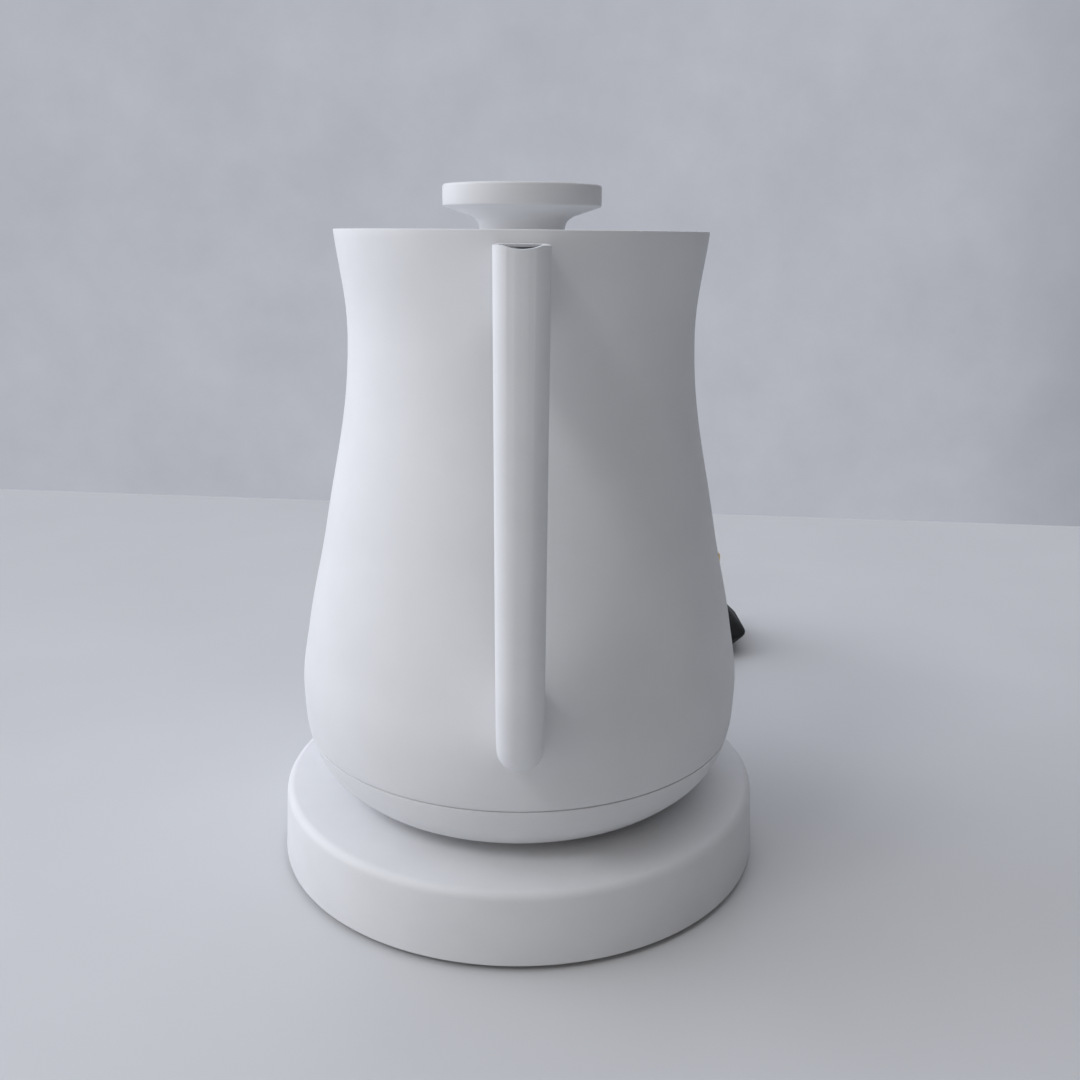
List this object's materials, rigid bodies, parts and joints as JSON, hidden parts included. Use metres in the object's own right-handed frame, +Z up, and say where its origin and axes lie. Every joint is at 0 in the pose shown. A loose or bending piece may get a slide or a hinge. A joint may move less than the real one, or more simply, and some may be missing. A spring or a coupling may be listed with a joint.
{
  "type": "gooseneck kettle",
  "caption": "Electric pour-over kettle with a tapered round body, gooseneck spout, flat-topped handle, disc-knob lid and cordless power base.",
  "frame": {"origin": "on the table, under the common axis of the kettle and its base", "axes": "+Z up, +Y from the handle towards the spout, +X to the right seen from behind the handle"},
  "size_m": [0.172, 0.2894, 0.1907],
  "materials": {
    "white_plastic": "fine satin texture",
    "white_coat": "matte powder coat",
    "black_plastic": "matte",
    "black_rubber": "matte",
    "silicone": "translucent satin",
    "brass": "bright",
    "steel": "satin",
    "aluminium": "cast satin",
    "wire_insulation": "satin",
    "cord_sheath": "satin",
    "tie_strap": "matte",
    "smoked_plastic": "gloss",
    "lamp_glass": "clear"
  },
  "bodies": {
    "power_base": {"base_top_shell": "white_plastic", "base_bottom_plate": "black_plastic", "foot_ring": "black_rubber", "base_screws": "steel", "connector_post": "black_plastic", "contact_pin": "brass", "contact_ring_neutral": "brass", "contact_ring_earth": "brass", "connector_screws": "steel", "cord_clamp": "black_plastic", "clamp_screws": "steel", "strain_relief": "black_rubber", "base_leads": "wire_insulation", "cord_lead": "cord_sheath", "cord_coil": "cord_sheath", "cord_tail": "cord_sheath", "cord_tie": "tie_strap", "plug_body": "black_rubber", "plug_pins": "brass"},
    "shutter": {"connector_shutter": "black_plastic"},
    "kettle": {"body_shell": "white_coat", "spout": "white_coat", "strainer": "steel", "heater_plate": "steel", "heat_spreader": "aluminium", "heating_element": "aluminium", "element_terminals": "steel", "control_housing": "black_plastic", "dry_boil_bimetals": "steel", "kettle_socket": "black_plastic", "socket_contacts": "brass", "control_screws": "steel", "bottom_cover": "white_plastic", "bottom_cover_screws": "steel", "bottom_seal": "silicone", "handle_shell": "white_plastic", "handle_cover": "white_plastic", "handle_screws": "steel", "upper_bracket": "steel", "lower_bracket": "steel", "steam_seal": "silicone", "steam_bimetal": "steel", "switch_housing": "black_plastic", "rocker_pin": "steel", "contact_blade": "brass", "neon_lamp": "lamp_glass", "switch_wires": "wire_insulation"},
    "rocker": {"switch_rocker": "smoked_plastic"},
    "lid": {"lid_plate": "white_coat", "lid_cup": "steel", "lid_gasket": "silicone", "lid_knob": "white_plastic", "knob_screw": "steel", "knob_washer": "silicone"}
  },
  "joints": [
    {"name": "kettle_turn", "type": "hinge", "parent": "power_base", "child": "shutter", "pos_m": [0, 0, 0.0238], "axis": [0, 0, 1], "continuous": true},
    {"name": "kettle_lift", "type": "slide", "parent": "shutter", "child": "kettle", "axis": [0, 0, 1], "range_m": [0, 0.1]},
    {"name": "lid_lift", "type": "slide", "parent": "kettle", "child": "lid", "axis": [0, 0, 1], "range_m": [0, 0.06]},
    {"name": "rocker_press", "type": "hinge", "parent": "kettle", "child": "rocker", "pos_m": [0, -0.084, 0.1733], "axis": [1, 0, 0], "range_deg": [0, 6]}
  ]
}
